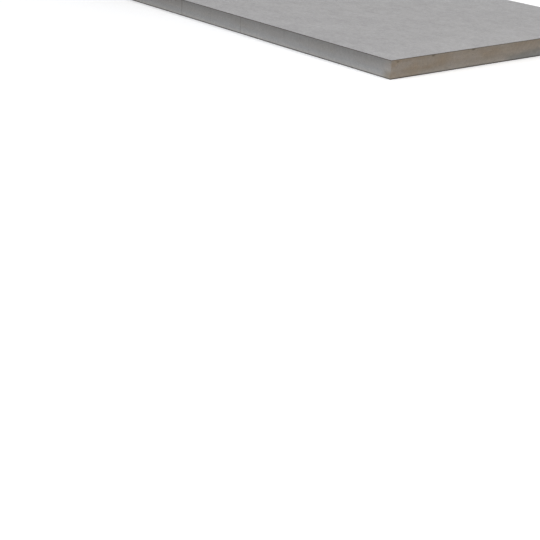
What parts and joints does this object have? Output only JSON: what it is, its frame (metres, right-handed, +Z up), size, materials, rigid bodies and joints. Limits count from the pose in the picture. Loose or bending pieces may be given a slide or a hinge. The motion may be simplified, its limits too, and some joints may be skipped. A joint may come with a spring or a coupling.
{
  "type": "polyiso insulation board",
  "caption": "Flat square-edged sheet of rigid polyisocyanurate foam faced on both sides with grey fibre-reinforced felt, for roof and wall insulation.",
  "frame": {"origin": "middle of the board's underside", "axes": "+X across the width, +Y along the length, +Z up through the thickness"},
  "size_m": [1.2192, 2.4384, 0.066],
  "materials": {
    "foam": "cut cellular foam, dry and matte",
    "facer": "grey fibre-reinforced felt, matte"
  },
  "bodies": {
    "root": {"foam_core": "foam", "top_facer": "facer", "bottom_facer": "facer"}
  },
  "joints": []
}
